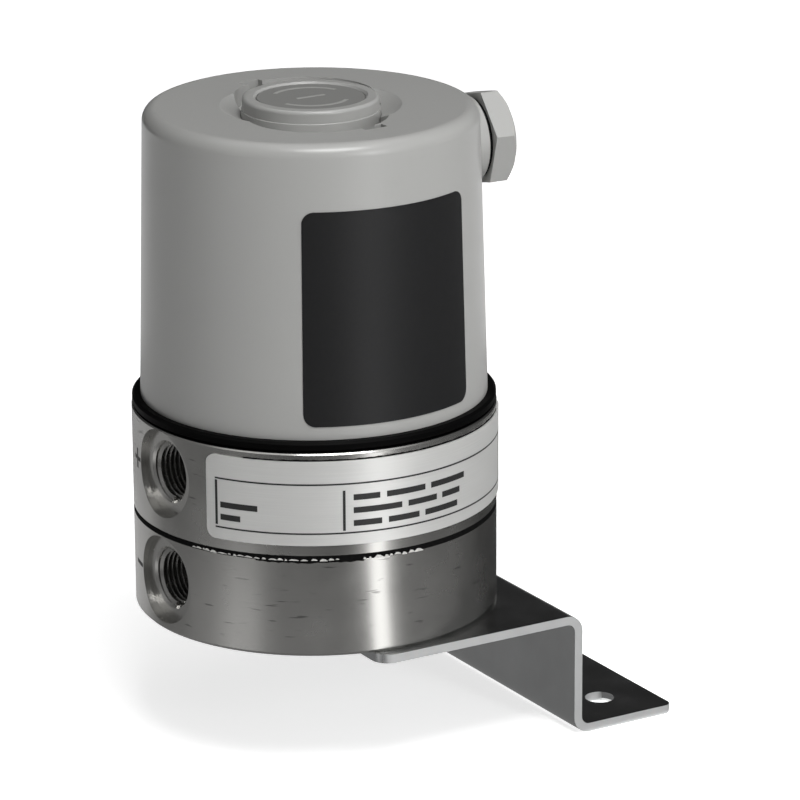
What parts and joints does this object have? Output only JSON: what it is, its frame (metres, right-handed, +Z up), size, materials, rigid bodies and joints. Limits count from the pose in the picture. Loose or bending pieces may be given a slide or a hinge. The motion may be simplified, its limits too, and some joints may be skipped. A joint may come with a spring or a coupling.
{
  "type": "differential pressure transmitter",
  "caption": "Round differential pressure transmitter with threaded ports in a turned metal body, a moulded cover held by a central knob, a cable entry and a bent sheet bracket.",
  "frame": {"origin": "midway between the two holes of the bracket's foot, on the foot's underside", "axes": "+Z up along the body's axis, +X along the bracket away from the body towards the foot's free edge, -Y the front with the panel"},
  "size_m": [0.0818, 0.0642, 0.1081],
  "materials": {
    "nickel_plated_brass": "turned and nickel plated",
    "plated_sheet_steel": "bent sheet, bright zinc plated",
    "stainless_steel": "plain stainless",
    "brass_fittings": "turned",
    "black_rubber": "moulded",
    "grey_moulded_plastic": "fine moulded satin",
    "dark_insert_plastic": "moulded",
    "light_grey_plastic": "moulded satin",
    "dark_panel": "printed film, left bare",
    "printed_foil": "printed foil with plain fields",
    "white_ceramic": "fired ceramic and pale moulded resin",
    "green_board": "glass-filled laminate under solder lacquer",
    "green_terminal_plastic": "moulded",
    "blue_trimmer_plastic": "moulded",
    "black_moulding": "moulded",
    "can_aluminium": "drawn can",
    "grey_ribbon": "flat lead"
  },
  "bodies": {
    "chambers": {"lower_chamber": "nickel_plated_brass", "upper_chamber": "nickel_plated_brass", "bracket": "plated_sheet_steel", "retainer_plate": "stainless_steel", "centre_stud": "stainless_steel", "clamp_screws": "stainless_steel", "retainer_screws": "stainless_steel", "bracket_washers": "stainless_steel", "bracket_screws": "stainless_steel", "board_screws": "stainless_steel", "push_rod": "stainless_steel", "rod_nut": "stainless_steel", "lower_support_plate": "stainless_steel", "upper_support_plate": "stainless_steel", "terminal_screws": "stainless_steel", "standoffs": "brass_fittings", "sensor_pins": "brass_fittings", "cover_gasket": "black_rubber", "diaphragm": "black_rubber", "sensor_o_ring": "black_rubber", "rating_plate": "printed_foil", "ceramic_beam": "white_ceramic", "sensor_carrier": "white_ceramic", "circuit_board": "green_board", "terminal_block": "green_terminal_plastic", "zero_trimmer_body": "blue_trimmer_plastic", "span_trimmer_body": "blue_trimmer_plastic", "signal_chip": "black_moulding", "ribbon_plug": "black_moulding", "small_components": "black_moulding", "capacitors": "can_aluminium", "ribbon": "grey_ribbon"},
    "cover": {"cover": "grey_moulded_plastic", "front_panel": "dark_panel", "knob_seal": "black_rubber", "entry_gasket": "black_rubber", "entry_rubber": "black_rubber", "thrust_washer": "stainless_steel"},
    "knob": {"cover_knob": "grey_moulded_plastic", "knob_insert": "dark_insert_plastic", "knob_clip": "stainless_steel"},
    "entry_nut": {"entry_nut": "light_grey_plastic"},
    "zero_rotor": {"zero_trimmer_rotor": "brass_fittings"},
    "span_rotor": {"span_trimmer_rotor": "brass_fittings"}
  },
  "joints": [
    {"name": "cover_lift", "type": "slide", "parent": "chambers", "child": "cover", "axis": [0, 0, 1], "range_m": [0, 0.06]},
    {"name": "knob_turn", "type": "hinge", "parent": "cover", "child": "knob", "pos_m": [-0.0424, 0, 0.1044], "axis": [0, 0, 1], "continuous": true},
    {"name": "entry_nut_turn", "type": "hinge", "parent": "cover", "child": "entry_nut", "pos_m": [-0.01056, -0.00195, 0.0972], "axis": [0.9981, -0.061, 0], "continuous": true},
    {"name": "zero_trim", "type": "hinge", "parent": "chambers", "child": "zero_rotor", "pos_m": [-0.043, -0.014, 0.0754], "axis": [0, 0, 1], "range_deg": [-135, 135]},
    {"name": "span_trim", "type": "hinge", "parent": "chambers", "child": "span_rotor", "pos_m": [-0.0346, -0.0136, 0.0754], "axis": [0, 0, 1], "range_deg": [-135, 135]}
  ]
}
